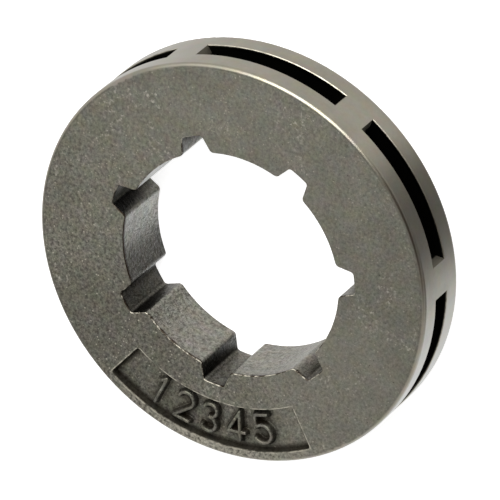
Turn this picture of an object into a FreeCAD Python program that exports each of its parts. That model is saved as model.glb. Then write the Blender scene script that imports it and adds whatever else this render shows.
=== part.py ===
"""Rim sprocket of a chainsaw clutch drum, made as one sintered steel ring.

Two flanges are joined by seven webs. The seven windows between the webs take the
tangs of the chain's drive links, and seven spline notches in the bore slide over
the ribs of the drum's hub. The marked face has a sunk panel with drafted walls.

Millimetres and degrees. The back face lies on Z = 0, the axis is +Z, the origin is
the centre of the bore, and +X runs through the middle of the panel, through the
middle of one notch and through the middle of one web.
"""
import FreeCAD, Part
import math
import os
import Sketcher

NODE = "rim_sprocket"

# Driving dimensions: alias, value, what it is
SIZES = (
    ("tooth_count", 7, "windows, webs and spline notches round the ring"),
    ("rim_diameter", 37.0, "outside of both flanges, which the chain straps ride on"),
    ("ring_width", 6.3, "over both flanges"),
    ("rim_round", 0.45, "radius on the two outer edges"),
    ("land_diameter", 20.7, "bore between two opposite spline lands"),
    ("notch_diameter", 23.8, "across the floors of the spline notches"),
    ("notch_mouth", 2.85, "width of a notch where it opens into the bore"),
    ("notch_slope", 15.0, "lean of a notch side, from the middle of the notch"),
    ("notch_round", 0.35, "radius in the two floor corners of a notch"),
    ("mouth_round", 0.45, "radius where a notch side meets a land"),
    ("lip_break", 0.06, "broken edge round the bore on both faces"),
    ("window_width", 2.05, "gap between the flanges for the drive link tangs"),
    ("pocket_floor_diameter", 26.0, "floor of the pockets behind the windows"),
    ("web_rim_width", 2.95, "width of a web at the rim"),
    ("web_foot_width", 5.6, "width of a web at the pocket floor"),
    ("window_break", 0.06, "broken edge along both flanges at a window"),
    ("pocket_round", 0.8, "radius in the floor corners of a pocket"),
    ("panel_inner_diameter", 27.0, "inner edge of the sunk panel"),
    ("panel_outer_diameter", 35.1, "outer edge of the sunk panel"),
    ("panel_angle", 68.0, "arc that the panel spans"),
    ("panel_depth", 0.65, "depth of the panel below the marked face"),
    ("panel_slope", 15.0, "draft of the panel walls"),
    ("panel_round", 0.3, "radius in the four upright corners of the panel"),
)

# How far a cutting outline runs past the face that it opens through
RUN_OUT = 1.0
# Two places on the ring closer than this are the same place
CLOSE = 0.01

# The sketcher's own names for its X axis and for the points of a line or an arc
X_AXIS = -1
START, END, CENTRE = 1, 2, 3


def make_sheet(doc):
    """Spreadsheet of the driving dimensions, one aliased cell each."""
    sheet = doc.addObject("Spreadsheet::Sheet", "Sizes")
    for row, (alias, value, meaning) in enumerate(SIZES, start=1):
        sheet.set(f"A{row}", alias)
        sheet.set(f"B{row}", str(value))
        sheet.set(f"C{row}", meaning)
        sheet.setAlias(f"B{row}", alias)
    doc.recompute()
    return sheet


def origin_feature(body, role):
    return next(item for item in body.Origin.OriginFeatures if item.Role == role)


def new_sketch(body, name, height=None, turn=None):
    """Sketch on the body's XY plane, lifted and turned by expressions if they are given."""
    sketch = body.newObject("Sketcher::SketchObject", name)
    sketch.AttachmentSupport = (origin_feature(body, "XY_Plane"), [""])
    sketch.MapMode = "FlatFace"
    if height:
        sketch.setExpression("AttachmentOffset.Base.z", height)
    if turn:
        sketch.setExpression("AttachmentOffset.Rotation.Angle", turn)
    return sketch


def bind(sketch, name, formula, *constraint):
    """Add a dimension to a sketch, name it and tie it to the sheet."""
    index = sketch.addConstraint(Sketcher.Constraint(*constraint))
    sketch.renameConstraint(index, name)
    sketch.setExpression(f"Constraints.{name}", formula)


def fix(sketch, *constraint):
    sketch.addConstraint(Sketcher.Constraint(*constraint))


def polar(radius, angle):
    """Point at a radius and an angle in degrees."""
    turn = math.radians(angle)
    return FreeCAD.Vector(radius * math.cos(turn), radius * math.sin(turn), 0)


def add_line(sketch, first, last, construction=False):
    return sketch.addGeometry(Part.LineSegment(first, last), construction)


def add_arc(sketch, radius, first_angle, last_angle):
    """Arc about the origin, anticlockwise from the first angle to the last."""
    circle = Part.Circle(FreeCAD.Vector(), FreeCAD.Vector(0, 0, 1), radius)
    arc = Part.ArcOfCircle(circle, math.radians(first_angle), math.radians(last_angle))
    index = sketch.addGeometry(arc, False)
    fix(sketch, "Coincident", index, CENTRE, X_AXIS, START)
    return index


def circle_sketch(body, name, diameter):
    sketch = new_sketch(body, name)
    ring = sketch.addGeometry(Part.Circle(FreeCAD.Vector(), FreeCAD.Vector(0, 0, 1), 10.0), False)
    fix(sketch, "Coincident", ring, CENTRE, X_AXIS, START)
    bind(sketch, "diameter", diameter, "Diameter", ring, 20.0)
    return sketch


def through_pocket(body, sketch, name):
    """Pocket upwards through the whole ring, from a sketch on the back face."""
    pocket = body.newObject("PartDesign::Pocket", name)
    pocket.Profile = sketch
    pocket.Type = "ThroughAll"
    pocket.Reversed = True
    return pocket


def around(body, feature, name):
    """Copies of a feature round the axis, one for each tooth."""
    pattern = body.newObject("PartDesign::PolarPattern", name)
    pattern.Originals = [feature]
    pattern.Axis = (origin_feature(body, "Z_Axis"), [""])
    pattern.Angle = 360
    pattern.setExpression("Occurrences", "Sizes.tooth_count")
    body.Tip = pattern
    return pattern


def edge_names(shape, wanted):
    """Names of the edges whose middle point and whole shape pass a test."""
    names = []
    for index, edge in enumerate(shape.Edges, start=1):
        middle = edge.valueAt((edge.FirstParameter + edge.LastParameter) / 2)
        if wanted(edge, middle):
            names.append(f"Edge{index}")
    return names


def flat_at(edge, height):
    box = edge.BoundBox
    return abs(box.ZMin - height) < CLOSE and abs(box.ZMax - height) < CLOSE


def upright(edge):
    box = edge.BoundBox
    return box.ZLength > CLOSE and box.XLength < CLOSE and box.YLength < CLOSE


def distance_from_axis(point):
    return math.hypot(point.x, point.y)


def corners_at(shape, diameter):
    """Upright edges that stand on a circle about the axis."""
    return edge_names(shape, lambda edge, middle: upright(edge)
                      and abs(distance_from_axis(middle) - diameter / 2) < CLOSE)


def join_ends(sketch, *outline):
    """Join each piece of a closed outline, drawn in order, to the next one."""
    for piece, following in zip(outline, outline[1:] + outline[:1]):
        fix(sketch, "Coincident", piece, END, following, START)


def dress(body, kind, name, base, edges, amount, formula):
    """Fillet or chamfer on named edges of the feature before it."""
    feature = body.newObject(kind, name)
    feature.Base = (base, edges)
    feature.setExpression(amount, formula)
    return feature


def make_disc(body):
    """Plain disc with both outer edges rounded."""
    pad = body.newObject("PartDesign::Pad", "Disc")
    pad.Profile = circle_sketch(body, "RimCircle", "Sizes.rim_diameter")
    pad.setExpression("Length", "Sizes.ring_width")
    body.Document.recompute()
    rims = edge_names(pad.Shape, lambda edge, middle: edge.isClosed())
    dress(body, "PartDesign::Fillet", "RimRound", pad, rims, "Radius", "Sizes.rim_round")


def notch_sketch(body, size):
    """Trapezoid notch on +X, widest where it opens into the bore, with a round floor."""
    sketch = new_sketch(body, "NotchOutline")
    inner = size("land_diameter") / 2 - RUN_OUT
    outer = size("notch_diameter") / 2
    wide = size("notch_mouth") / 2
    spread = math.degrees(math.asin(wide / outer))
    lower_in, upper_in = FreeCAD.Vector(inner, -wide, 0), FreeCAD.Vector(inner, wide, 0)
    lower = add_line(sketch, lower_in, polar(outer, -spread))
    floor = add_arc(sketch, outer, -spread, spread)
    upper = add_line(sketch, polar(outer, spread), upper_in)
    closing = add_line(sketch, upper_in, lower_in)
    join_ends(sketch, lower, floor, upper, closing)
    fix(sketch, "Symmetric", lower, START, upper, END, X_AXIS)
    fix(sketch, "Vertical", lower, END, upper, START)
    bind(sketch, "floor_radius", "Sizes.notch_diameter / 2", "Radius", floor, outer)
    bind(sketch, "slope", "Sizes.notch_slope * 1deg", "Angle", lower, math.radians(size("notch_slope")))
    # The sides run on inwards past the lands, so that the notch opens fully into the bore
    run_in = f"(Sizes.land_diameter / 2 - {RUN_OUT})"
    bind(sketch, "run_in", run_in, "DistanceX", X_AXIS, START, upper, END, inner)
    mouth_distance = "sqrt(Sizes.land_diameter ^ 2 - Sizes.notch_mouth ^ 2) / 2"
    widening = f"2 * tan(Sizes.notch_slope * 1deg) * ({mouth_distance} - {run_in})"
    bind(sketch, "run_in_width", f"Sizes.notch_mouth + {widening}",
         "DistanceY", lower, START, upper, END, 2 * wide)
    return sketch


def make_bore(body, size):
    """Round bore, and the spline notches cut outwards from it, with all their corners rounded."""
    through_pocket(body, circle_sketch(body, "BoreCircle", "Sizes.land_diameter"), "Bore")
    notch = through_pocket(body, notch_sketch(body, size), "Notch")
    notches = around(body, notch, "Notches")
    body.Document.recompute()
    corners = corners_at(notches.Shape, size("notch_diameter"))
    rounded = dress(body, "PartDesign::Fillet", "NotchRound", notches, corners,
                    "Radius", "Sizes.notch_round")
    body.Document.recompute()
    corners = corners_at(rounded.Shape, size("land_diameter"))
    dress(body, "PartDesign::Fillet", "MouthRound", rounded, corners, "Radius", "Sizes.mouth_round")


def pocket_sketch(body, size):
    """Sector between two webs, about the sketch's X axis, open past the rim."""
    sketch = new_sketch(body, "PocketOutline", "Sizes.ring_width / 2", "180deg / Sizes.tooth_count")
    floor_radius = size("pocket_floor_diameter") / 2
    rim_radius = size("rim_diameter") / 2
    web_turn = 180 / size("tooth_count")
    foot, rim = size("web_foot_width") / 2, size("web_rim_width") / 2
    floor_end = web_turn - math.degrees(math.asin(foot / floor_radius))
    rim_end = web_turn - math.degrees(math.asin(rim / rim_radius))
    open_radius = rim_radius + RUN_OUT
    lower = add_line(sketch, polar(floor_radius, -floor_end), polar(open_radius, -rim_end))
    opening = add_arc(sketch, open_radius, -rim_end, rim_end)
    upper = add_line(sketch, polar(open_radius, rim_end), polar(floor_radius, floor_end))
    floor = add_arc(sketch, floor_radius, -floor_end, floor_end)
    fix(sketch, "Coincident", lower, END, opening, START)
    fix(sketch, "Coincident", opening, END, upper, START)
    fix(sketch, "Coincident", upper, END, floor, END)
    fix(sketch, "Coincident", floor, START, lower, START)
    fix(sketch, "Vertical", lower, START, upper, END)
    fix(sketch, "Vertical", lower, END, upper, START)
    bind(sketch, "floor_radius", "Sizes.pocket_floor_diameter / 2", "Radius", floor, floor_radius)
    bind(sketch, "open_radius", f"Sizes.rim_diameter / 2 + {RUN_OUT}", "Radius", opening, open_radius)

    # The middle of the web beside the pocket, from which its side is measured
    web_line = add_line(sketch, FreeCAD.Vector(), polar(open_radius, web_turn), construction=True)
    fix(sketch, "Coincident", web_line, START, X_AXIS, START)
    bind(sketch, "web_turn", "180deg / Sizes.tooth_count", "Angle", web_line, math.radians(web_turn))
    bind(sketch, "web_line_length", f"Sizes.rim_diameter / 2 + {RUN_OUT}",
         "Distance", web_line, open_radius)
    bind(sketch, "half_foot", "Sizes.web_foot_width / 2", "Distance", upper, END, web_line, foot)
    rim_point = sketch.addGeometry(Part.Point(polar(rim_radius, rim_end)), True)
    fix(sketch, "PointOnObject", rim_point, START, upper)
    bind(sketch, "rim_radius", "Sizes.rim_diameter / 2",
         "Distance", rim_point, START, X_AXIS, START, rim_radius)
    bind(sketch, "half_rim", "Sizes.web_rim_width / 2", "Distance", rim_point, START, web_line, rim)
    return sketch


def make_windows(body, size):
    """Pockets cut in from the rim between the flanges, which leave the webs standing."""
    pocket = body.newObject("PartDesign::Pocket", "Window")
    pocket.Profile = pocket_sketch(body, size)
    pocket.Type = "Length"
    pocket.Midplane = True
    pocket.setExpression("Length", "Sizes.window_width")
    windows = around(body, pocket, "Windows")
    body.Document.recompute()
    corners = corners_at(windows.Shape, size("pocket_floor_diameter"))
    dress(body, "PartDesign::Fillet", "PocketRound", windows, corners, "Radius", "Sizes.pocket_round")
    break_window_edges(body, size)


def break_window_edges(body, size):
    """Small chamfer along both flanges at each window, where it opens through the rim."""
    body.Document.recompute()
    base = body.Tip
    rim = size("rim_diameter") / 2
    low = (size("ring_width") - size("window_width")) / 2
    high = low + size("window_width")
    mouths = edge_names(base.Shape, lambda edge, middle: abs(distance_from_axis(middle) - rim) < CLOSE
                        and (flat_at(edge, low) or flat_at(edge, high)))
    dress(body, "PartDesign::Chamfer", "WindowBreak", base, mouths, "Size", "Sizes.window_break")


def panel_sketch(body, size):
    """Sector of a ring on the marked face, about +X."""
    sketch = new_sketch(body, "PanelOutline", "Sizes.ring_width")
    inner, outer = size("panel_inner_diameter") / 2, size("panel_outer_diameter") / 2
    half = size("panel_angle") / 2
    lower = add_line(sketch, polar(inner, -half), polar(outer, -half))
    far = add_arc(sketch, outer, -half, half)
    upper = add_line(sketch, polar(outer, half), polar(inner, half))
    near = add_arc(sketch, inner, -half, half)
    fix(sketch, "Coincident", lower, END, far, START)
    fix(sketch, "Coincident", far, END, upper, START)
    fix(sketch, "Coincident", upper, END, near, END)
    fix(sketch, "Coincident", near, START, lower, START)
    fix(sketch, "PointOnObject", X_AXIS, START, lower)
    fix(sketch, "PointOnObject", X_AXIS, START, upper)
    bind(sketch, "outer_radius", "Sizes.panel_outer_diameter / 2", "Radius", far, outer)
    bind(sketch, "inner_radius", "Sizes.panel_inner_diameter / 2", "Radius", near, inner)
    bind(sketch, "lower_turn", "-Sizes.panel_angle / 2 * 1deg", "Angle", lower, math.radians(-half))
    bind(sketch, "arc", "Sizes.panel_angle * 1deg",
         "Angle", lower, START, upper, END, math.radians(2 * half))
    return sketch


def make_panel(body, size):
    """Sunk panel with drafted walls and rounded corners."""
    panel = body.newObject("PartDesign::Pocket", "Panel")
    panel.Profile = panel_sketch(body, size)
    panel.Type = "Length"
    panel.setExpression("Length", "Sizes.panel_depth")
    panel.setExpression("TaperAngle", "-Sizes.panel_slope * 1deg")
    body.Document.recompute()
    face, floor = size("ring_width"), size("ring_width") - size("panel_depth")
    corners = edge_names(panel.Shape, lambda edge, middle: edge.BoundBox.ZMin > floor - CLOSE
                         and floor + CLOSE < middle.z < face - CLOSE
                         and distance_from_axis(middle) < size("panel_outer_diameter") / 2)
    dress(body, "PartDesign::Fillet", "PanelRound", panel, corners, "Radius", "Sizes.panel_round")


def break_lips(body, size):
    """Small chamfer round the mouth of the bore on both faces."""
    body.Document.recompute()
    base = body.Tip
    outer = size("notch_diameter") / 2 + CLOSE
    lips = edge_names(base.Shape, lambda edge, middle: distance_from_axis(middle) < outer
                      and (flat_at(edge, 0) or flat_at(edge, size("ring_width"))))
    dress(body, "PartDesign::Chamfer", "LipBreak", base, lips, "Size", "Sizes.lip_break")


def check(doc, body):
    """Stop if any object failed to compute or the ring isn't one sound solid."""
    failed = [item.Name for item in doc.Objects if "Invalid" in item.State or "Error" in item.State]
    if failed:
        raise RuntimeError("failed objects: " + ", ".join(failed))
    shape = body.Shape
    if shape.isNull() or not shape.isValid() or len(shape.Solids) != 1:
        raise RuntimeError("the ring isn't one valid solid")


def main():
    doc = FreeCAD.newDocument("RimSprocket")
    sheet = make_sheet(doc)
    body = doc.addObject("PartDesign::Body", "Body")
    body.Label = NODE

    def size(alias):
        return float(sheet.get(alias))

    make_disc(body)
    make_bore(body, size)
    make_windows(body, size)
    make_panel(body, size)
    break_lips(body, size)
    doc.recompute()
    check(doc, body)
    os.makedirs("parts", exist_ok=True)
    body.Shape.exportStep(f"parts/{body.Label}.step")
    print(f"{body.Label}: {body.Shape.Volume:.1f} mm3, {len(body.Shape.Faces)} faces")


main()
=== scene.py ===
"""Looks of a rim sprocket of sintered steel, lying on its plain face on a white floor.

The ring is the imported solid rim_sprocket, in one material that tells its pressed faces,
sized bore, turned rim, windows and sunk panel apart by their place. The raised figures
in the panel are a surface of their own. Lengths here are in millimetres, and MM turns
them into the metres that every object is in. Angles run anticlockwise from +X, which
goes through the middle of the panel.
"""
import math
from types import SimpleNamespace
import bpy
import numpy as np
from mathutils import Matrix, Vector


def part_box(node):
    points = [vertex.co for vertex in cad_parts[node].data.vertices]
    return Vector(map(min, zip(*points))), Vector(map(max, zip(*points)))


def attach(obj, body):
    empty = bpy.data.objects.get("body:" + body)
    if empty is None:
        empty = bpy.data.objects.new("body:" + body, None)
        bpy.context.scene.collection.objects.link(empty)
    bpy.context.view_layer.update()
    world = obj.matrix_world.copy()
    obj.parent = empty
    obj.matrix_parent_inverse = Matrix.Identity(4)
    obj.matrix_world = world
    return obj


MM = 0.001
RING = "rim_sprocket"
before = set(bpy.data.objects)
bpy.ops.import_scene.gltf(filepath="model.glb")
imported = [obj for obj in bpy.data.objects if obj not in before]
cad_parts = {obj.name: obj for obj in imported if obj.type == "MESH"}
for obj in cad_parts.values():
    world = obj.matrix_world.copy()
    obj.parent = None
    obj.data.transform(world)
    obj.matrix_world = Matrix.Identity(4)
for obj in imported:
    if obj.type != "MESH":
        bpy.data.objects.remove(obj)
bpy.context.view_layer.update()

# The ring's own sizes
RIM_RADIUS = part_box(RING)[1].x / MM
RING_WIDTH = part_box(RING)[1].z / MM
RIM_ROUND = 0.45
LAND_RADIUS = 10.35
NOTCH_RADIUS = 11.9
POCKET_RADIUS = 13.0
WINDOW_WIDTH = 2.05
PANEL_INNER_RADIUS = 13.5
PANEL_OUTER_RADIUS = 17.55
PANEL_HALF_ANGLE = math.radians(34.0)
PANEL_DEPTH = 0.65
PANEL_SLOPE = math.radians(15.0)
PANEL_FLOOR = RING_WIDTH - PANEL_DEPTH
PANEL_WALL_FOOT = PANEL_DEPTH * math.tan(PANEL_SLOPE)

# The figures: plain numbers, tops to the bore, read anticlockwise
FIGURE_HEIGHT = 2.65
FIGURE_RISE = 0.58
FIGURE_TOP_HALF = 0.09
FIGURE_FOOT_HALF = 0.32
FIGURE_BASE_RADIUS = 16.75
FIGURE_ANGLES = [math.radians(angle) for angle in (-19.0, -9.5, 0.0, 9.5, 19.0)]

# Their strokes, drawn 3 mm tall: a line between two points, or a centre, radius and angles of an arc
DRAWN_HEIGHT = 3.0
STROKES = {
    1: [("line", (-0.5, 2.4), (0.1, 3.0)), ("line", (0.1, 3.0), (0.1, 0.0))],
    2: [("arc", (0.0, 2.15), 0.85, 165, -40), ("line", (0.65, 1.6), (-0.75, 0.0)),
        ("line", (-0.75, 0.0), (0.9, 0.0))],
    3: [("arc", (-0.05, 2.28), 0.72, 155, -90), ("arc", (-0.05, 0.78), 0.78, 90, -155)],
    4: [("line", (0.4, 3.0), (-0.9, 0.85)), ("line", (-0.9, 0.85), (0.95, 0.85)),
        ("line", (0.4, 3.0), (0.4, 0.0))],
    5: [("line", (0.75, 3.0), (-0.55, 3.0)), ("line", (-0.55, 3.0), (-0.7, 1.65)),
        ("arc", (-0.05, 0.95), 0.95, 135, -150)],
}

# The figures' plate: its height over the panel's floor, how far its edge and keel reach, its quads
FLOOR_SKIN = 0.012
FLOOR_TUCK = 0.07
FLOOR_KEEL = 0.05
CELL = 0.05

# The steel's patterns, by the size of a grain, a fleck or a patch
GRAIN = 0.3
FINE_GRAIN = 0.12
FLECK_CELL = 0.26
PORE_CELL = 0.3
RUB = 0.4
RUBBED_PATCH = 4.0
WEAR_PATCH = 0.8
TINT_PATCH = 1.0
BLOTCH = 3.0
BUMP_HEIGHT = 0.04

# Sides of the bore with the most painted shade in the notches, with painted brown shade on a land, and with a
# lip painted dark as shade
SHADED_NOTCH_SIDE = (0.62, -0.78, 0.0)
SHADED_LAND_SIDE = (0.454, -0.891, 0.0)
SHADED_LIP_SIDE = (0.19, -0.98, 0.0)

# Sides of the marked face with the coarsest grain, with painted shade, and with painted light
COARSE_SIDE = (0.819, -0.574, 0.0)
SHADED_SIDE = (0.766, -0.643, 0.0)
LIT_SIDE = (0.643, 0.766, 0.0)

# The middle of a scuffed patch on the marked face
SCUFF_SPOT = (-15.9, 4.0, RING_WIDTH)

# The camera, in the ring's frame: angles in degrees, lengths in millimetres
CAMERA_AZIMUTH = -124.9
CAMERA_ELEVATION = 51.84
CAMERA_ROLL = -130.57
CAMERA_DISTANCE = 592.6
CAMERA_LENS = 500.86
CAMERA_SENSOR = 36
CAMERA_AIM = (-0.14, 0.255, 3.15)
CAMERA_NEAREST = 10
CAMERA_FURTHEST = 10000

# The studio. Each direction is right, up and back as the camera is held
WORLD_GREY = 0.35
FLOOR_HALF = 3000
FLOOR_GLOW = 0.78
DARK_CARD = (0.44, -0.27, 0.86)
SIDE_WINDOW = (-0.66, 0.60, 0.45)
SIDE_WINDOW_GLOW = 1.8
DARK_SIDE = (0.91, 0.17, -0.37)
DARK_SIDE_SHADE = 0.24
BRIGHT_SIDE = (0.53, -0.25, -0.81)
BRIGHT_SIDE_GLOW = 1.5


def linear(colour):
    """sRGB hex such as 6E6B60 to the linear colour that a shader takes."""
    values = np.array([int(colour[i:i + 2], 16) for i in (0, 2, 4)]) / 255
    curved = np.where(values <= 0.04045, values / 12.92, ((values + 0.055) / 1.055) ** 2.4)
    return (*curved, 1.0)


def add(tree, kind, inputs, **settings):
    """Add a shader node, set its properties and feed its inputs by name or number."""
    node = tree.nodes.new("ShaderNode" + kind)
    for name, value in settings.items():
        setattr(node, name, value)
    for name, source in inputs.items():
        if isinstance(source, bpy.types.NodeSocket):
            tree.links.new(source, node.inputs[name])
        else:
            node.inputs[name].default_value = source
    return node.outputs


def towards(tree, way, side, start, end, low=0.0, high=1.0):
    """Smooth step from low to high as the cosine of the angle between way and side goes from start to end."""
    cosine = add(tree, "VectorMath", {0: way, 1: side}, operation="DOT_PRODUCT")["Value"]
    return add(tree, "MapRange", {"Value": cosine, "From Min": start, "From Max": end,
                                  "To Min": low, "To Max": high}, interpolation_type="SMOOTHSTEP")[0]


def new_material(name):
    material = bpy.data.materials.new(name)
    material.use_nodes = True
    material.node_tree.nodes.clear()
    return material


def link_object(name, data):
    made = bpy.data.objects.new(name, data)
    bpy.context.scene.collection.objects.link(made)
    return made


def place_camera():
    """Camera on the photograph's line of sight, rolled as it was held."""
    data = bpy.data.cameras.new("camera")
    data.sensor_width = CAMERA_SENSOR
    data.lens = CAMERA_LENS
    data.clip_start = CAMERA_NEAREST * MM
    data.clip_end = CAMERA_FURTHEST * MM
    azimuth, elevation = math.radians(CAMERA_AZIMUTH), math.radians(CAMERA_ELEVATION)
    back = Vector((math.sin(azimuth) * math.cos(elevation),
                   -math.cos(azimuth) * math.cos(elevation),
                   math.sin(elevation)))
    level = (-back).to_track_quat("-Z", "Y").to_matrix()
    turned = level @ Matrix.Rotation(math.radians(CAMERA_ROLL), 3, "Z")
    spot = (Vector(CAMERA_AIM) + back * CAMERA_DISTANCE) * MM
    camera = link_object("camera", data)
    camera.matrix_world = Matrix.Translation(spot) @ turned.to_4x4()
    bpy.context.scene.camera = camera
    return turned


def softbox(name, view, direction, distance, size, power):
    """Square lamp aimed at the ring, with its distance and size in millimetres and its power in watts."""
    data = bpy.data.lights.new(name, "AREA")
    data.shape = "SQUARE"
    data.size = size * MM
    data.energy = power
    outward = (view @ Vector(direction)).normalized()
    turn = outward.to_track_quat("Z", "Y").to_matrix().to_4x4()
    lamp = link_object(name, data)
    lamp.matrix_world = Matrix.Translation(outward * distance * MM) @ turn


def room_colour(tree, view):
    """Colour of the white room that the metal mirrors, by direction.

    One dark brown card stands beside the camera and one bright window above it. Below
    the horizon the room is dark on one side and brighter and bluer on the other.
    """
    aim = add(tree, "TexCoord", {})["Generated"]
    card = (view @ Vector(DARK_CARD)).normalized()
    window = (view @ Vector(SIDE_WINDOW)).normalized()
    on_card = towards(tree, aim, card, 0.64, 0.98)
    through = towards(tree, aim, window, 0.86, 0.99, 1.0, SIDE_WINDOW_GLOW)
    upper = add(tree, "Mix", {0: on_card, 6: linear("FFFFFF"), 7: linear("33241A")}, data_type="RGBA")[2]
    upper = add(tree, "VectorMath", {0: upper, "Scale": through}, operation="SCALE")["Vector"]

    flat = Vector((1, 1, 0))
    along = add(tree, "VectorMath", {0: aim, 1: flat}, operation="MULTIPLY")["Vector"]
    along = add(tree, "VectorMath", {0: along}, operation="NORMALIZE")["Vector"]
    dark_side = (view @ Vector(DARK_SIDE) * flat).normalized()
    bright_side = (view @ Vector(BRIGHT_SIDE) * flat).normalized()
    shade = towards(tree, along, dark_side, 0.66, 0.99, 1.05, DARK_SIDE_SHADE)
    daylight = towards(tree, along, bright_side, 0.60, 1.0)
    glow = add(tree, "MapRange", {"Value": daylight, "To Min": 1.0, "To Max": BRIGHT_SIDE_GLOW})[0]
    glow = add(tree, "Math", {0: shade, 1: glow}, operation="MULTIPLY")[0]
    lower = add(tree, "Mix", {0: daylight, 6: linear("FFFFFF"), 7: linear("F0F4FA")}, data_type="RGBA")[2]
    lower = add(tree, "VectorMath", {0: lower, "Scale": glow}, operation="SCALE")["Vector"]

    height = add(tree, "SeparateXYZ", {0: aim})["Z"]
    below = add(tree, "MapRange", {"Value": height, "From Min": 0.02, "From Max": -0.02})[0]
    return add(tree, "Mix", {0: below, 6: upper, 7: lower}, data_type="RGBA")[2]


def make_world(view):
    """White behind everything, the room in the metal's reflections, and a plain grey light."""
    world = bpy.data.worlds.new("studio")
    world.use_nodes = True
    tree = world.node_tree
    tree.nodes.clear()
    path = add(tree, "LightPath", {})
    clear = add(tree, "Math", {0: path["Is Camera Ray"], 1: path["Is Transmission Ray"]},
                operation="MAXIMUM")[0]
    plain = add(tree, "Background", {"Color": linear("FFFFFF"), "Strength": WORLD_GREY})[0]
    white = add(tree, "Background", {"Color": linear("FFFFFF"), "Strength": 1.0})[0]
    room = add(tree, "Background", {"Color": room_colour(tree, view), "Strength": 1.0})[0]
    mixed = add(tree, "MixShader", {0: clear, 1: plain, 2: white})[0]
    mixed = add(tree, "MixShader", {0: path["Is Glossy Ray"], 1: mixed, 2: room})[0]
    add(tree, "OutputWorld", {"Surface": mixed})
    bpy.context.scene.world = world


def make_floor():
    """White floor that keeps a faint shadow. The metal mirrors the room in its place."""
    half = FLOOR_HALF * MM
    mesh = bpy.data.meshes.new("floor")
    corners = [(-half, -half, 0), (half, -half, 0), (half, half, 0), (-half, half, 0)]
    mesh.from_pydata(corners, [], [(0, 1, 2, 3)])
    material = new_material("matt_white_floor")
    tree = material.node_tree
    path = add(tree, "LightPath", {})
    matt = add(tree, "BsdfDiffuse", {"Color": linear("E6E6E6")})[0]
    glow = add(tree, "Emission", {"Color": linear("FFFFFF"), "Strength": FLOOR_GLOW})[0]
    white = add(tree, "AddShader", {0: matt, 1: glow})[0]
    looked_at = add(tree, "MixShader", {0: path["Is Camera Ray"], 1: matt, 2: white})[0]
    add(tree, "OutputMaterial", {"Surface": looked_at})
    mesh.materials.append(material)
    floor = link_object("floor", mesh)
    floor.visible_glossy = False


def line_distance(u, v, start, end):
    """Distance of the points u, v from the straight stroke between start and end."""
    du, dv = end[0] - start[0], end[1] - start[1]
    along = ((u - start[0]) * du + (v - start[1]) * dv) / (du * du + dv * dv)
    along = np.clip(along, 0, 1)
    return np.hypot(u - start[0] - along * du, v - start[1] - along * dv)


def arc_distance(u, v, centre, radius, start, end):
    """Distance of the points u, v from an arc that runs clockwise from start to end, in degrees."""
    angle = np.degrees(np.arctan2(v - centre[1], u - centre[0]))
    inside = np.mod(start - angle, 360) <= start - end
    ring = np.abs(np.hypot(u - centre[0], v - centre[1]) - radius)
    turns = [math.radians(turn) for turn in (start, end)]
    ends = [(centre[0] + radius * math.cos(turn), centre[1] + radius * math.sin(turn)) for turn in turns]
    tips = np.minimum(*[np.hypot(u - tip[0], v - tip[1]) for tip in ends])
    return np.where(inside, ring, tips)


def figure_distance(figure, u, v):
    """Distance of the points u, v from the nearest stroke of a figure that stands on v = 0."""
    distance = {"line": line_distance, "arc": arc_distance}
    return np.min([distance[kind](u, v, *shape) for kind, *shape in STROKES[figure]], axis=0)


def smooth_step(low, high, value):
    part = np.clip((value - low) / (high - low), 0, 1)
    return part * part * (3 - 2 * part)


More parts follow.
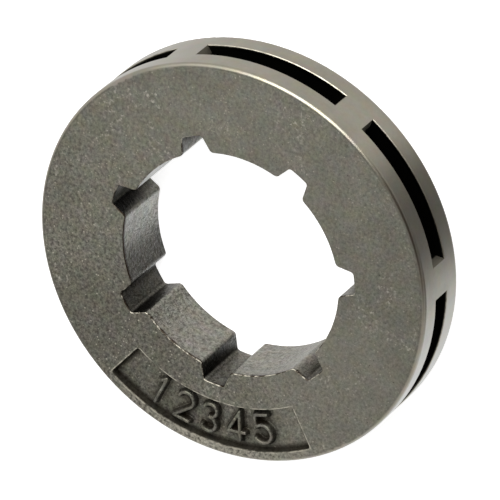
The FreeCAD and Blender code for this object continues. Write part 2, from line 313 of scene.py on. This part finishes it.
def make_figures(material):
    """Floor of the sunk panel with its raised figures, one closed plate.

    Two parameters: angle and radius. The height over the floor is FIGURE_RISE on a
    stroke's centre line and falls on a smooth step of the distance from that line,
    from FIGURE_TOP_HALF to FIGURE_FOOT_HALF, so strokes that meet run together.
    The plate's edge is tucked into the panel's walls and its keel into the ring.
    """
    inner = PANEL_INNER_RADIUS + PANEL_WALL_FOOT - FLOOR_TUCK
    outer = PANEL_OUTER_RADIUS - PANEL_WALL_FOOT + FLOOR_TUCK
    half_angle = PANEL_HALF_ANGLE - (PANEL_WALL_FOOT - FLOOR_TUCK) / outer
    rows = round((outer - inner) / CELL) + 1
    columns = round(2 * half_angle * (inner + outer) / 2 / CELL) + 1
    radius, angle = np.meshgrid(np.linspace(inner, outer, rows),
                                np.linspace(-half_angle, half_angle, columns), indexing="ij")
    x, y = radius * np.cos(angle), radius * np.sin(angle)
    nearest = np.full(x.shape, np.inf)
    scale = FIGURE_HEIGHT / DRAWN_HEIGHT
    for figure, middle in enumerate(FIGURE_ANGLES, start=1):
        right = y * math.cos(middle) - x * math.sin(middle)
        up = FIGURE_BASE_RADIUS - x * math.cos(middle) - y * math.sin(middle)
        drawn = figure_distance(figure, right / scale, up / scale)
        nearest = np.minimum(nearest, drawn * scale)
    height = FIGURE_RISE * (1 - smooth_step(FIGURE_TOP_HALF, FIGURE_FOOT_HALF, nearest))
    top = np.stack([x, y, PANEL_FLOOR + FLOOR_SKIN + height], axis=-1)
    keel = np.stack([x[[0, -1]], y[[0, -1]], np.full((2, columns), PANEL_FLOOR - FLOOR_KEEL)], axis=-1)
    vertices = np.concatenate([top.reshape(-1, 3), keel.reshape(-1, 3)]) * MM

    number = np.arange(rows * columns).reshape(rows, columns)
    low_in, low_out = rows * columns + np.arange(2 * columns).reshape(2, columns)
    sheet = np.stack([number[:-1, :-1], number[1:, :-1], number[1:, 1:], number[:-1, 1:]], axis=-1)
    inside = np.stack([low_in[:-1], number[0, :-1], number[0, 1:], low_in[1:]], axis=-1)
    outside = np.stack([number[-1, :-1], low_out[:-1], low_out[1:], number[-1, 1:]], axis=-1)
    under = np.stack([low_out[:-1], low_in[:-1], low_in[1:], low_out[1:]], axis=-1)
    quads = np.concatenate([part.reshape(-1, 4) for part in (sheet, inside, outside, under)]).tolist()
    first_end = [int(low_in[0]), int(low_out[0]), *number[::-1, 0].tolist()]
    last_end = [int(low_out[-1]), int(low_in[-1]), *number[:, -1].tolist()]
    mesh = bpy.data.meshes.new("panel_figures")
    mesh.from_pydata(vertices.tolist(), [], quads + [first_end, last_end])
    mesh.shade_smooth()
    mesh.materials.append(material)
    return link_object("panel_figures", mesh)


def place_on_ring(tree):
    """Where a point lies on the ring, in millimetres, and which way its surface faces."""
    place = add(tree, "TexCoord", {})
    spot = add(tree, "VectorMath", {0: place["Object"], "Scale": 1 / MM}, operation="SCALE")["Vector"]
    axes = add(tree, "SeparateXYZ", {0: spot})
    flat_spot = add(tree, "VectorMath", {0: spot, 1: (1, 1, 0)}, operation="MULTIPLY")["Vector"]
    radius = add(tree, "VectorMath", {0: flat_spot}, operation="LENGTH")["Value"]
    outwards = add(tree, "VectorMath", {0: flat_spot}, operation="NORMALIZE")["Vector"]
    off_panel = add(tree, "Math", {0: axes["Y"], 1: axes["X"]}, operation="ARCTAN2")[0]
    off_panel = add(tree, "Math", {0: off_panel}, operation="ABSOLUTE")[0]
    off_middle = add(tree, "Math", {0: axes["Z"], 1: RING_WIDTH / 2}, operation="SUBTRACT")[0]
    off_middle = add(tree, "Math", {0: off_middle}, operation="ABSOLUTE")[0]
    level = add(tree, "SeparateXYZ", {0: place["Normal"]})["Z"]
    level = add(tree, "Math", {0: level}, operation="ABSOLUTE")[0]
    square_on = add(tree, "VectorMath", {0: place["Normal"], 1: outwards}, operation="DOT_PRODUCT")["Value"]
    square_on = add(tree, "Math", {0: square_on}, operation="ABSOLUTE")[0]
    return SimpleNamespace(spot=spot, height=axes["Z"], radius=radius, outwards=outwards, off_panel=off_panel,
                           off_middle=off_middle, level=level, square_on=square_on)


def kinds_of_surface(tree, at):
    """How far a surface is a pressed face, the rim, the bore, a notch, a web's flank or inside a window."""
    face = add(tree, "MapRange", {"Value": at.level, "From Min": 0.80, "From Max": 0.98},
               interpolation_type="SMOOTHSTEP")[0]
    side = add(tree, "Math", {0: 1.0, 1: face}, operation="SUBTRACT")[0]
    flank = add(tree, "MapRange", {"Value": at.square_on, "From Min": 0.5, "From Max": 0.8,
                                   "To Min": 1.0, "To Max": 0.0})[0]
    flank = add(tree, "Math", {0: flank, 1: side}, operation="MULTIPLY")[0]
    outside = add(tree, "MapRange", {"Value": at.radius, "From Min": RIM_RADIUS - RIM_ROUND,
                                     "From Max": RIM_RADIUS - 0.8 * RIM_ROUND})[0]
    rim = add(tree, "Math", {0: side, 1: outside}, operation="MULTIPLY")[0]

    inside = add(tree, "MapRange", {"Value": at.radius, "From Min": NOTCH_RADIUS + 0.2,
                                    "From Max": NOTCH_RADIUS + 0.4, "To Min": 1.0, "To Max": 0.0})[0]
    bore = add(tree, "Math", {0: side, 1: inside}, operation="MULTIPLY")[0]
    notch = add(tree, "MapRange", {"Value": at.radius, "From Min": LAND_RADIUS + 0.15,
                                   "From Max": LAND_RADIUS + 0.65})[0]
    notch = add(tree, "Math", {0: notch, 1: bore}, operation="MULTIPLY")[0]
    notch_flank = add(tree, "Math", {0: flank, 1: bore}, operation="MULTIPLY")[0]

    in_slot = add(tree, "MapRange", {"Value": at.off_middle, "From Min": WINDOW_WIDTH / 2 + 0.02,
                                     "From Max": WINDOW_WIDTH / 2 + 0.06, "To Min": 1.0, "To Max": 0.0})[0]
    past_notch = add(tree, "MapRange", {"Value": at.radius, "From Min": NOTCH_RADIUS + 0.3,
                                        "From Max": POCKET_RADIUS - 0.2})[0]
    pocket = add(tree, "Math", {0: in_slot, 1: past_notch}, operation="MULTIPLY")[0]
    # The web's flanks in a window, painted paler as painted light
    lit_web_flank = add(tree, "Math", {0: flank, 1: pocket}, operation="MULTIPLY")[0]
    depth = add(tree, "Math", {0: RIM_RADIUS, 1: at.radius}, operation="SUBTRACT")[0]
    depth = add(tree, "Math", {0: flank, 1: -0.6, 2: depth}, operation="MULTIPLY_ADD")[0]
    behind_rim = add(tree, "MapRange", {"Value": depth, "From Min": 0.08, "From Max": 0.2})[0]
    # Inside a window, painted near black as painted shade
    window = add(tree, "Math", {0: pocket, 1: behind_rim}, operation="MULTIPLY")[0]
    return SimpleNamespace(face=face, outside=outside, rim=rim, inside=inside, bore=bore, notch=notch,
                           notch_flank=notch_flank, lit_web_flank=lit_web_flank, window=window)


def specks(tree, at, cell, channel, rarity, largest):
    """Soft dots, one in each cell whose random number is over the rarity, and larger the further over."""
    cells = add(tree, "TexVoronoi", {"Vector": at.spot, "Scale": 1 / cell})
    chance = add(tree, "SeparateColor", {0: cells["Color"]})[channel]
    size = add(tree, "MapRange", {"Value": chance, "From Min": rarity, "From Max": 1.0,
                                  "To Min": 0.0, "To Max": largest})[0]
    return add(tree, "MapRange", {"Value": cells["Distance"], "From Min": 0.0, "From Max": size,
                                  "To Min": 1.0, "To Max": 0.0})[0]


def powder_grain(tree, at, on):
    """Speckle of the powder, and on the pressed faces bright flecks painted as glints of light, and dark
    pores with painted shade in them.
    """
    grain = add(tree, "TexNoise", {"Vector": at.spot, "Scale": 1 / GRAIN, "Detail": 3.0,
                                   "Roughness": 0.6})["Fac"]
    fine = add(tree, "TexNoise", {"Vector": at.spot, "Scale": 1 / FINE_GRAIN, "Detail": 2.0})["Fac"]
    blotch = add(tree, "TexNoise", {"Vector": at.spot, "Scale": 1 / BLOTCH, "Detail": 3.0})["Fac"]
    tint = add(tree, "TexNoise", {"Vector": at.spot, "Scale": 1 / TINT_PATCH, "Detail": 2.0})["Color"]
    tint = add(tree, "VectorMath", {0: tint, 1: (0.24, 0.18, 0.3), 2: (0.88, 0.91, 0.85)},
               operation="MULTIPLY_ADD")["Vector"]

    coarse = towards(tree, at.outwards, COARSE_SIDE, -0.5, 1.0, 0.55, 1.25)
    speckle = add(tree, "Mix", {0: 0.3, 2: grain, 3: fine}, data_type="FLOAT")[0]
    speckle = add(tree, "MapRange", {"Value": speckle, "From Min": 0.33, "From Max": 0.67})[0]
    speckle = add(tree, "Math", {0: speckle, 1: 0.5}, operation="SUBTRACT")[0]
    speckle = add(tree, "Math", {0: speckle, 1: coarse, 2: 0.5}, operation="MULTIPLY_ADD", use_clamp=True)[0]

    rarity = add(tree, "MapRange", {"Value": blotch, "From Min": 0.35, "From Max": 0.65,
                                    "To Min": 0.85, "To Max": 0.45})[0]
    # Bright flecks: painted glints of light on the powder's grains
    glint_fleck = specks(tree, at, FLECK_CELL, "Red", rarity, largest=0.4)
    glint_fleck = add(tree, "Math", {0: glint_fleck, 1: on.face}, operation="MULTIPLY")[0]
    glint_fleck = add(tree, "Math", {0: glint_fleck, 1: coarse}, operation="MULTIPLY", use_clamp=True)[0]
    # Dark pores: the powder's pits, painted dark as their shade
    pore_shade = specks(tree, at, PORE_CELL, "Green", rarity=0.75, largest=0.3)
    pore_shade = add(tree, "Math", {0: pore_shade, 1: on.face}, operation="MULTIPLY")[0]
    return SimpleNamespace(grain=grain, fine=fine, blotch=blotch, tint=tint, speckle=speckle,
                           glint_fleck=glint_fleck, pore_shade=pore_shade)


def ways_into_panel(tree, at):
    """How far a point is inside the panel's outer arc, inside that and both ends, and inside every edge."""
    to_outer = add(tree, "Math", {0: PANEL_OUTER_RADIUS, 1: at.radius}, operation="SUBTRACT")[0]
    to_inner = add(tree, "Math", {0: at.radius, 1: PANEL_INNER_RADIUS}, operation="SUBTRACT")[0]
    to_end = add(tree, "Math", {0: PANEL_HALF_ANGLE, 1: at.off_panel}, operation="SUBTRACT")[0]
    to_end = add(tree, "Math", {0: to_end, 1: at.radius}, operation="MULTIPLY")[0]
    to_shaded_wall = add(tree, "Math", {0: to_outer, 1: to_end}, operation="MINIMUM")[0]
    to_wall = add(tree, "Math", {0: to_shaded_wall, 1: to_inner}, operation="MINIMUM")[0]
    return SimpleNamespace(to_outer=to_outer, to_shaded_wall=to_shaded_wall, to_wall=to_wall)


def recess_shading(tree, at, panel):
    """Painted shade in recesses, over their dark scale: what is closed in within 0.8 mm and 3 mm, and the
    floor along the panel's shaded walls.
    """
    # Painted shade where the surface is closed in
    near = add(tree, "AmbientOcclusion", {"Distance": 0.8 * MM}, samples=8, only_local=True)["AO"]
    far = add(tree, "AmbientOcclusion", {"Distance": 3 * MM}, samples=8, only_local=True)["AO"]
    openness = add(tree, "Math", {0: near, 1: far}, operation="MULTIPLY")[0]
    closed_in = add(tree, "MapRange", {"Value": openness, "From Min": 0.2, "From Max": 0.9,
                                       "To Min": 1.0, "To Max": 0.0}, interpolation_type="SMOOTHSTEP")[0]
    in_panel = add(tree, "MapRange", {"Value": panel.to_wall, "From Min": -0.1, "From Max": -0.05})[0]
    sunk = add(tree, "MapRange", {"Value": at.height, "From Min": RING_WIDTH - 0.14,
                                  "From Max": RING_WIDTH - 0.05, "To Min": 1.0, "To Max": 0.0})[0]
    # Painted shade on the panel's floor along its outer wall and ends
    by_wall = add(tree, "MapRange", {"Value": panel.to_shaded_wall, "From Min": PANEL_WALL_FOOT - 0.05,
                                     "From Max": PANEL_WALL_FOOT + 0.55, "To Min": 0.75, "To Max": 0.0},
                  interpolation_type="SMOOTHSTEP")[0]
    by_wall = add(tree, "Math", {0: by_wall, 1: in_panel}, operation="MULTIPLY")[0]
    by_wall = add(tree, "Math", {0: by_wall, 1: sunk}, operation="MULTIPLY")[0]
    return add(tree, "Math", {0: closed_in, 1: by_wall}, operation="MAXIMUM")[0]


def rubbed_edges(tree, at, on, panel, wear):
    """Edges bright in patches from wear, partly painted highlight: the slanted breaks round the bore and
    windows, and the panel's lip.

    What isn't bright of the breaks round the bore is painted dark as shade, and on one land, whose lip faces
    away from the light, all of it.
    """
    steep = add(tree, "MapRange", {"Value": at.level, "From Min": 0.35, "From Max": 0.55})[0]
    shallow = add(tree, "MapRange", {"Value": at.level, "From Min": 0.90, "From Max": 0.97,
                                     "To Min": 1.0, "To Max": 0.0})[0]
    broken = add(tree, "Math", {0: steep, 1: shallow}, operation="MULTIPLY")[0]
    by_bore = add(tree, "MapRange", {"Value": at.off_middle, "From Min": RING_WIDTH / 2 - 0.12,
                                     "From Max": RING_WIDTH / 2 - 0.08})[0]
    by_bore = add(tree, "Math", {0: by_bore, 1: on.inside}, operation="MULTIPLY")[0]
    at_rim = add(tree, "MapRange", {"Value": at.radius, "From Min": RIM_RADIUS - 0.12,
                                    "From Max": RIM_RADIUS - 0.08})[0]
    by_window = add(tree, "MapRange", {"Value": at.off_middle, "From Min": WINDOW_WIDTH / 2 + 0.1,
                                       "From Max": WINDOW_WIDTH / 2 + 0.15, "To Min": 1.0, "To Max": 0.0})[0]
    by_window = add(tree, "Math", {0: by_window, 1: at_rim}, operation="MULTIPLY")[0]
    on_break = add(tree, "Math", {0: by_bore, 1: by_window}, operation="MAXIMUM")[0]
    broken = add(tree, "Math", {0: broken, 1: on_break}, operation="MULTIPLY")[0]

    off_lip = add(tree, "Math", {0: panel.to_wall}, operation="ABSOLUTE")[0]
    lip = add(tree, "MapRange", {"Value": off_lip, "From Min": 0.03, "From Max": 0.12,
                                 "To Min": 1.0, "To Max": 0.0})[0]
    on_top = add(tree, "MapRange", {"Value": at.height, "From Min": RING_WIDTH - 0.12,
                                    "From Max": RING_WIDTH - 0.06})[0]
    lip = add(tree, "Math", {0: lip, 1: on_top}, operation="MULTIPLY")[0]

    # Painted highlight is left off the land whose lip faces away from the light, which gets painted shade
    unshaded_lip = add(tree, "VectorMath", {0: at.outwards, 1: SHADED_LIP_SIDE}, operation="DOT_PRODUCT")["Value"]
    unshaded_lip = add(tree, "MapRange", {"Value": unshaded_lip, "From Min": 0.93, "From Max": 0.96,
                                       "To Min": 1.0, "To Max": 0.0})[0]
    patchy = add(tree, "MapRange", {"Value": wear, "From Min": 0.38, "From Max": 0.55})[0]
    rubbed_and_highlit = add(tree, "Math", {0: broken, 1: lip}, operation="MAXIMUM")[0]
    rubbed_and_highlit = add(tree, "Math", {0: rubbed_and_highlit, 1: patchy}, operation="MULTIPLY")[0]
    rubbed_and_highlit = add(tree, "Math", {0: rubbed_and_highlit, 1: unshaded_lip}, operation="MULTIPLY")[0]
    # Painted shade on what isn't bright of the breaks round the bore
    chipped_shade = add(tree, "Math", {0: broken, 1: rubbed_and_highlit}, operation="SUBTRACT")[0]
    chipped_shade = add(tree, "Math", {0: chipped_shade, 1: by_bore}, operation="MULTIPLY")[0]
    return SimpleNamespace(rubbed_and_highlit=rubbed_and_highlit, chipped_shade=chipped_shade, unshaded_lip=unshaded_lip, by_bore=by_bore)


def face_wear_and_shading(tree, at, on, panel, grain):
    """Wear and painted light and shade of the pressed faces: scuffs, one side painted lighter as light, one
    side painted darker as shade, and the strip beside the panel.
    """
    rub = add(tree, "TexNoise", {"Vector": at.spot, "Scale": 1 / RUB, "Detail": 3.0, "Roughness": 0.7})["Fac"]
    rub = add(tree, "MapRange", {"Value": rub, "From Min": 0.56, "From Max": 0.72, "To Max": 0.8})[0]
    patch = add(tree, "TexNoise", {"Vector": at.spot, "Scale": 1 / RUBBED_PATCH, "Detail": 1.0})["Fac"]
    patch = add(tree, "MapRange", {"Value": patch, "From Min": 0.52, "From Max": 0.65})[0]
    by_spot = add(tree, "VectorMath", {0: at.spot, 1: SCUFF_SPOT}, operation="DISTANCE")["Value"]
    by_spot = add(tree, "MapRange", {"Value": by_spot, "From Min": 0.6, "From Max": 2.9,
                                     "To Min": 1.0, "To Max": 0.0})[0]
    patch = add(tree, "Math", {0: patch, 1: by_spot}, operation="MAXIMUM")[0]
    scuff = add(tree, "Math", {0: rub, 1: patch}, operation="MULTIPLY")[0]
    scuff = add(tree, "Math", {0: scuff, 1: on.face}, operation="MULTIPLY")[0]

    # The strip between the panel and the rim is rubbed brightest beside the panel's middle
    strip = add(tree, "MapRange", {"Value": at.off_panel, "From Min": 0.0, "From Max": math.radians(43.0),
                                   "To Min": 0.42, "To Max": 0.0})[0]
    past_panel = add(tree, "MapRange", {"Value": panel.to_outer, "From Min": -0.04, "From Max": 0.0,
                                        "To Min": 1.0, "To Max": 0.0})[0]
    strip = add(tree, "Math", {0: strip, 1: past_panel}, operation="MULTIPLY")[0]
    strip = add(tree, "Math", {0: strip, 1: on.face}, operation="MULTIPLY")[0]
    patches = add(tree, "MapRange", {"Value": grain, "From Min": 0.38, "From Max": 0.62,
                                     "To Min": 0.1, "To Max": 1.6})[0]
    strip = add(tree, "Math", {0: strip, 1: patches}, operation="MULTIPLY")[0]

    # Painted light: the marked face a little lighter towards one side
    lit_side = towards(tree, at.outwards, LIT_SIDE, 0.7, 1.0, 0.0, 0.08)
    lit_side = add(tree, "Math", {0: lit_side, 1: on.face}, operation="MULTIPLY")[0]
    # Painted shade: the marked face darker towards another side
    shaded_side = towards(tree, at.outwards, SHADED_SIDE, 0.8, 0.98, 0.0, 0.2)
    shaded_side = add(tree, "Math", {0: shaded_side, 1: on.face}, operation="MULTIPLY")[0]
    return SimpleNamespace(scuff=scuff, strip=strip, lit_side=lit_side, shaded_side=shaded_side)


def bore_shading(tree, at, on, wear, unshaded_lip):
    """Painted shade in the bore: dark and patchy in the notches, brown on one land, and dark round the bore's
    mouth as the shadow of its rough lip.
    """
    mottle = add(tree, "MapRange", {"Value": wear, "From Min": 0.38, "From Max": 0.62,
                                    "To Min": 1.15, "To Max": 0.85})[0]
    # Painted shade in the notches, darker towards the marked face and towards one side
    frontward = add(tree, "MapRange", {"Value": at.height, "From Min": 1.0, "From Max": 5.0,
                                       "To Min": 0.5, "To Max": 1.0}, interpolation_type="SMOOTHSTEP")[0]
    on_side = towards(tree, at.outwards, SHADED_NOTCH_SIDE, 0.0, 0.55, 0.1, 1.0)
    notch_shade = add(tree, "Math", {0: on.notch, 1: 0.4}, operation="MULTIPLY")[0]
    notch_shade = add(tree, "Math", {0: on.notch_flank, 1: 0.62, 2: notch_shade}, operation="MULTIPLY_ADD")[0]
    notch_shade = add(tree, "Math", {0: notch_shade, 1: frontward}, operation="MULTIPLY")[0]
    notch_shade = add(tree, "Math", {0: notch_shade, 1: on_side}, operation="MULTIPLY")[0]
    notch_shade = add(tree, "Math", {0: notch_shade, 1: mottle}, operation="MULTIPLY", use_clamp=True)[0]

    # Painted shade: one land darker and browner, in patches
    land_shade = towards(tree, at.outwards, SHADED_LAND_SIDE, 0.95, 0.995, 0.0, 0.5)
    land_shade = add(tree, "Math", {0: land_shade, 1: on.bore}, operation="MULTIPLY")[0]
    land_shade = add(tree, "Math", {0: land_shade, 1: mottle}, operation="MULTIPLY")[0]

    # Painted shadow round the bore's mouth, in patches, and whole on the land whose lip is in shade
    burr_shadow = add(tree, "MapRange", {"Value": at.height, "From Min": RING_WIDTH - 0.35,
                                  "From Max": RING_WIDTH - 0.18})[0]
    patches = add(tree, "MapRange", {"Value": wear, "From Min": 0.42, "From Max": 0.6,
                                     "To Min": 1.0, "To Max": 0.2})[0]
    patches = add(tree, "Mix", {0: unshaded_lip, 2: 1.0, 3: patches}, data_type="FLOAT")[0]
    burr_shadow = add(tree, "Math", {0: burr_shadow, 1: patches}, operation="MULTIPLY")[0]
    burr_shadow = add(tree, "Math", {0: burr_shadow, 1: on.bore}, operation="MULTIPLY")[0]
    return SimpleNamespace(notch_shade=notch_shade, land_shade=land_shade, burr_shadow=burr_shadow)


def bare_steel(tree, on, powder):
    """Colour of the clean steel: dark and grainy where pressed, paler on the burnished rim and bore."""
    speckle = powder.speckle
    pressed = add(tree, "Mix", {0: speckle, 6: linear("42403A"), 7: linear("77756A")}, data_type="RGBA")[2]
    smooth = add(tree, "Mix", {0: speckle, 6: linear("8C877A"), 7: linear("959083")}, data_type="RGBA")[2]
    sized = add(tree, "Mix", {0: speckle, 6: linear("605D54"), 7: linear("A19E93")}, data_type="RGBA")[2]
    colour = add(tree, "Mix", {0: on.rim, 6: pressed, 7: smooth}, data_type="RGBA")[2]
    colour = add(tree, "Mix", {0: on.bore, 6: colour, 7: sized}, data_type="RGBA")[2]
    tone = add(tree, "MapRange", {"Value": powder.blotch, "From Min": 0.3, "From Max": 0.7,
                                  "To Min": 0.92, "To Max": 1.08})[0]
    colour = add(tree, "VectorMath", {0: colour, "Scale": tone}, operation="SCALE")["Vector"]
    return add(tree, "VectorMath", {0: colour, 1: powder.tint}, operation="MULTIPLY")["Vector"]


def rim_normal(tree, at):
    """Normal of the surface, on the rim's rounds the true one, which is smoother than their facets.

    A round faces away from its own centre line: outwards by how far the point is past
    that line's radius, and up or down by how far it is past that line's height.
    """
    past_front = add(tree, "Math", {0: at.height, 1: RING_WIDTH - RIM_ROUND}, operation="SUBTRACT")[0]
    past_front = add(tree, "Math", {0: past_front, 1: 0.0}, operation="MAXIMUM")[0]
    past_back = add(tree, "Math", {0: at.height, 1: RIM_ROUND}, operation="SUBTRACT")[0]
    past_back = add(tree, "Math", {0: past_back, 1: 0.0}, operation="MINIMUM")[0]
    past_face = add(tree, "Math", {0: past_front, 1: past_back}, operation="ADD")[0]
    past_rim = add(tree, "Math", {0: at.radius, 1: RIM_RADIUS - RIM_ROUND}, operation="SUBTRACT")[0]
    past_rim = add(tree, "Math", {0: past_rim, 1: 0.0}, operation="MAXIMUM")[0]
    away = add(tree, "VectorMath", {0: at.outwards, "Scale": past_rim}, operation="SCALE")["Vector"]
    upward = add(tree, "CombineXYZ", {"Z": past_face})[0]
    away = add(tree, "VectorMath", {0: away, 1: upward}, operation="ADD")["Vector"]
    away = add(tree, "VectorMath", {0: away}, operation="NORMALIZE")["Vector"]
    on_round = add(tree, "Math", {0: past_rim, 1: past_face}, operation="MULTIPLY")[0]
    on_round = add(tree, "Math", {0: on_round}, operation="ABSOLUTE")[0]
    on_round = add(tree, "Math", {0: on_round, 1: 1e-4}, operation="GREATER_THAN")[0]
    facet = add(tree, "NewGeometry", {})["Normal"]
    return add(tree, "Mix", {0: on_round, 4: facet, 5: away}, data_type="VECTOR")[1]


def relief(tree, at, on, powder):
    """Bump of the powder's grain, flattened on the rim and deepest in the bore."""
    grain_rise = add(tree, "Math", {0: powder.grain, 1: 0.5}, operation="SUBTRACT")[0]
    fine_rise = add(tree, "Math", {0: powder.fine, 1: 0.5}, operation="SUBTRACT")[0]
    bore_rise = add(tree, "Math", {0: grain_rise, 1: 1.6, 2: fine_rise}, operation="MULTIPLY_ADD")[0]
    unflattened = add(tree, "MapRange", {"Value": on.outside, "To Min": 1.0, "To Max": 0.1})[0]
    rise = add(tree, "Math", {0: grain_rise, 1: unflattened}, operation="MULTIPLY")[0]
    rise = add(tree, "Math", {0: bore_rise, 1: on.bore, 2: rise}, operation="MULTIPLY_ADD")[0]
    return add(tree, "Bump", {"Height": rise, "Distance": BUMP_HEIGHT * MM, "Strength": 1.0,
                              "Normal": rim_normal(tree, at)})[0]


def sintered_steel():
    """Sintered steel: iron powder pressed in a die and fired, dull, dark and grainy.

    Its pressed faces show the powder as a fine speckle with bright flecks painted as glints and
    dark pores with painted shade. The die has burnished the bore and the rim, the edges are bright
    from handling and painted highlight, and the recesses carry painted shade over their dark scale.
    """
    material = new_material("sintered_steel")
    tree = material.node_tree
    at = place_on_ring(tree)
    on = kinds_of_surface(tree, at)
    powder = powder_grain(tree, at, on)
    panel = ways_into_panel(tree, at)
    recess_shade_and_scale = recess_shading(tree, at, panel)
    wear = add(tree, "TexNoise", {"Vector": at.spot, "Scale": 1 / WEAR_PATCH, "Detail": 3.0,
                                  "Roughness": 0.7})["Fac"]
    edges = rubbed_edges(tree, at, on, panel, wear)
    face = face_wear_and_shading(tree, at, on, panel, powder.grain)
    bore = bore_shading(tree, at, on, wear, edges.unshaded_lip)

    # What lies over the steel, from the bottom up, and its colour: wear, and painted light and shade
    colour = bare_steel(tree, on, powder)
    covers = (
        (face.lit_side, "B5B0A2"), (face.shaded_side, "2A261E"), (face.strip, "B5B0A2"),
        (powder.glint_fleck, "A39E90"), (powder.pore_shade, "2E2C26"), (face.scuff, "A19D92"),
        (recess_shade_and_scale, "211C15"), (bore.land_shade, "2E271B"), (bore.burr_shadow, "33281D"), (bore.notch_shade, "0E0C08"),
        (on.lit_web_flank, "706C61"), (on.window, "0A0A08"), (edges.rubbed_and_highlit, "A8A395"), (edges.chipped_shade, "332A20"),
    )
    for cover, paint in covers:
        colour = add(tree, "Mix", {0: cover, 6: colour, 7: linear(paint)}, data_type="RGBA")[2]

    burnished = add(tree, "Math", {0: on.outside, 1: on.bore}, operation="MAXIMUM")[0]
    rough = add(tree, "MapRange", {"Value": burnished, "To Min": 0.48, "To Max": 0.3})[0]
    for cover, roughness in ((recess_shade_and_scale, 0.8), (on.lit_web_flank, 0.65), (edges.by_bore, 0.5)):
        rough = add(tree, "Mix", {0: cover, 2: rough, 3: roughness}, data_type="FLOAT")[0]
    shader = add(tree, "BsdfPrincipled", {"Metallic": 1.0, "Roughness": rough, "Base Color": colour,
                                          "Normal": relief(tree, at, on, powder)})
    add(tree, "OutputMaterial", {"Surface": shader[0]})
    return material


view = place_camera()
make_world(view)
make_floor()
softbox("key", view, direction=(-0.17, 0.46, 0.87), distance=500, size=400, power=2.7)
softbox("fill", view, direction=(-0.74, -0.42, 0.52), distance=56, size=30, power=0.0048)

steel = sintered_steel()
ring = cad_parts[RING]
ring.data.materials.clear()
ring.data.materials.append(steel)

figures = make_figures(steel)
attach(figures, "root")

bpy.context.scene.view_settings.view_transform = "Standard"
